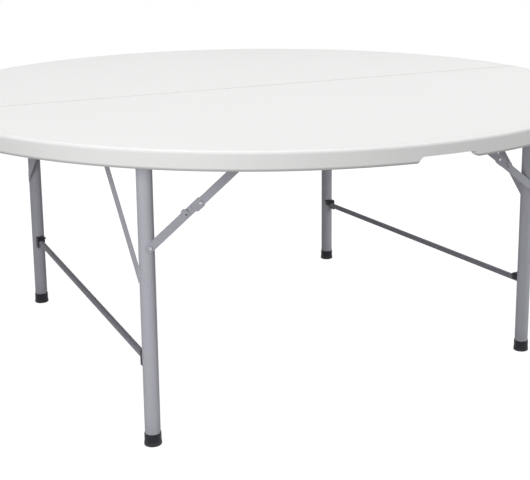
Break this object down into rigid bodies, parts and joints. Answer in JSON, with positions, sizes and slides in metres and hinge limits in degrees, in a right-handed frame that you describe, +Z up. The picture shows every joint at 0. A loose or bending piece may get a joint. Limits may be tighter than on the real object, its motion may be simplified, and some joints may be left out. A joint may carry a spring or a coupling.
{
  "type": "folding banquet table",
  "caption": "Round folding table with a moulded white top in halves, a centre seam, hand holds in the rim, tube legs, folding braces and clipped crossbars.",
  "frame": {"origin": "on the floor under the middle of the round top", "axes": "+Z up, +X along the seam, -Y toward the front half"},
  "size_m": [1.83, 1.8296, 0.74],
  "materials": {
    "moulded_top": "fine satin",
    "leg_coat": "satin silver-grey powder coat",
    "zinc": "zinc plated",
    "black_plastic": "matt"
  },
  "bodies": {
    "table_top": {"top_half_front": "moulded_top", "top_half_rear": "moulded_top", "seam_hinge_left_front_leaf": "zinc", "seam_hinge_left_rear_leaf": "zinc", "seam_hinge_left_pin": "zinc", "seam_hinge_right_front_leaf": "zinc", "seam_hinge_right_rear_leaf": "zinc", "seam_hinge_right_pin": "zinc", "outer_saddle_front_left": "zinc", "outer_saddle_rear_left": "zinc", "outer_saddle_front_right": "zinc", "outer_saddle_rear_right": "zinc", "inner_saddle_front_left": "zinc", "inner_saddle_rear_left": "zinc", "inner_saddle_front_right": "zinc", "inner_saddle_rear_right": "zinc", "brace_bracket_front_left": "zinc", "brace_bracket_rear_left": "zinc", "brace_bracket_front_right": "zinc", "brace_bracket_rear_right": "zinc"},
    "leg_front_left": {"leg_tube_front_left": "leg_coat", "pivot_tube_front_left": "leg_coat", "gusset_front_left": "leg_coat", "foot_cap_front_left": "black_plastic", "bar_clip_front_left": "black_plastic"},
    "brace_lower_front_left": {"lower_link_front_left": "leg_coat"},
    "brace_upper_front_left": {"upper_link_front_left": "leg_coat"},
    "leg_rear_left": {"leg_tube_rear_left": "leg_coat", "pivot_tube_rear_left": "leg_coat", "gusset_rear_left": "leg_coat", "foot_cap_rear_left": "black_plastic", "bar_clip_rear_left": "black_plastic"},
    "brace_lower_rear_left": {"lower_link_rear_left": "leg_coat"},
    "brace_upper_rear_left": {"upper_link_rear_left": "leg_coat"},
    "leg_front_right": {"leg_tube_front_right": "leg_coat", "pivot_tube_front_right": "leg_coat", "gusset_front_right": "leg_coat", "foot_cap_front_right": "black_plastic", "bar_clip_front_right": "black_plastic"},
    "brace_lower_front_right": {"lower_link_front_right": "leg_coat"},
    "brace_upper_front_right": {"upper_link_front_right": "leg_coat"},
    "leg_rear_right": {"leg_tube_rear_right": "leg_coat", "pivot_tube_rear_right": "leg_coat", "gusset_rear_right": "leg_coat", "foot_cap_rear_right": "black_plastic", "bar_clip_rear_right": "black_plastic"},
    "brace_lower_rear_right": {"lower_link_rear_right": "leg_coat"},
    "brace_upper_rear_right": {"upper_link_rear_right": "leg_coat"},
    "crossbar_left": {"crossbar_left": "leg_coat"},
    "crossbar_right": {"crossbar_right": "leg_coat"}
  },
  "joints": [
    {"name": "front_left_leg_fold", "type": "hinge", "parent": "table_top", "child": "leg_front_left", "pos_m": [-0.56, -0.531, 0.7135], "axis": [0, -1, 0], "range_deg": [0, 90]},
    {"name": "front_left_lower_link_turn", "type": "hinge", "parent": "leg_front_left", "child": "brace_lower_front_left", "pos_m": [-0.56, -0.531, 0.4835], "axis": [0, -1, 0], "range_deg": [0, 53.03]},
    {"name": "front_left_upper_link_turn", "type": "hinge", "parent": "table_top", "child": "brace_upper_front_left", "pos_m": [-0.255, -0.531, 0.7135], "axis": [0, -1, 0], "range_deg": [-37.07, 0]},
    {"name": "rear_left_leg_fold", "type": "hinge", "parent": "table_top", "child": "leg_rear_left", "pos_m": [-0.512, 0.585, 0.7135], "axis": [0, -1, 0], "range_deg": [0, 90]},
    {"name": "rear_left_lower_link_turn", "type": "hinge", "parent": "leg_rear_left", "child": "brace_lower_rear_left", "pos_m": [-0.512, 0.585, 0.4835], "axis": [0, -1, 0], "range_deg": [0, 53.03]},
    {"name": "rear_left_upper_link_turn", "type": "hinge", "parent": "table_top", "child": "brace_upper_rear_left", "pos_m": [-0.207, 0.585, 0.7135], "axis": [0, -1, 0], "range_deg": [-37.07, 0]},
    {"name": "crossbar_left_swivel", "type": "hinge", "parent": "leg_front_left", "child": "crossbar_left", "pos_m": [-0.56, -0.5035, 0.205], "axis": [0, -1, 0], "range_deg": [-90.05, 0]},
    {"name": "front_right_leg_fold", "type": "hinge", "parent": "table_top", "child": "leg_front_right", "pos_m": [0.572, -0.492, 0.7135], "axis": [0, 1, 0], "range_deg": [0, 86.4]},
    {"name": "front_right_lower_link_turn", "type": "hinge", "parent": "leg_front_right", "child": "brace_lower_front_right", "pos_m": [0.572, -0.492, 0.4835], "axis": [0, 1, 0], "range_deg": [0, 50.91]},
    {"name": "front_right_upper_link_turn", "type": "hinge", "parent": "table_top", "child": "brace_upper_front_right", "pos_m": [0.267, -0.492, 0.7135], "axis": [0, 1, 0], "range_deg": [-35.59, 0]},
    {"name": "rear_right_leg_fold", "type": "hinge", "parent": "table_top", "child": "leg_rear_right", "pos_m": [0.52, 0.546, 0.7135], "axis": [0, 1, 0], "range_deg": [0, 86.4]},
    {"name": "rear_right_lower_link_turn", "type": "hinge", "parent": "leg_rear_right", "child": "brace_lower_rear_right", "pos_m": [0.52, 0.546, 0.4835], "axis": [0, 1, 0], "range_deg": [0, 50.91]},
    {"name": "rear_right_upper_link_turn", "type": "hinge", "parent": "table_top", "child": "brace_upper_rear_right", "pos_m": [0.215, 0.546, 0.7135], "axis": [0, 1, 0], "range_deg": [-35.59, 0]},
    {"name": "crossbar_right_swivel", "type": "hinge", "parent": "leg_front_right", "child": "crossbar_right", "pos_m": [0.572, -0.4645, 0.205], "axis": [0, 1, 0], "range_deg": [-86.45, 0]}
  ],
  "couplings": [
    {"joint": "front_left_lower_link_turn", "follows": "front_left_leg_fold", "ratio": 0.58867},
    {"joint": "front_left_upper_link_turn", "follows": "front_left_leg_fold", "ratio": -0.41133},
    {"joint": "rear_left_leg_fold", "follows": "front_left_leg_fold", "ratio": 1},
    {"joint": "rear_left_lower_link_turn", "follows": "front_left_leg_fold", "ratio": 0.58867},
    {"joint": "rear_left_upper_link_turn", "follows": "front_left_leg_fold", "ratio": -0.41133},
    {"joint": "crossbar_left_swivel", "follows": "front_left_leg_fold", "ratio": -1},
    {"joint": "front_right_lower_link_turn", "follows": "front_right_leg_fold", "ratio": 0.58867},
    {"joint": "front_right_upper_link_turn", "follows": "front_right_leg_fold", "ratio": -0.41133},
    {"joint": "rear_right_leg_fold", "follows": "front_right_leg_fold", "ratio": 1},
    {"joint": "rear_right_lower_link_turn", "follows": "front_right_leg_fold", "ratio": 0.58867},
    {"joint": "rear_right_upper_link_turn", "follows": "front_right_leg_fold", "ratio": -0.41133},
    {"joint": "crossbar_right_swivel", "follows": "front_right_leg_fold", "ratio": -1}
  ]
}
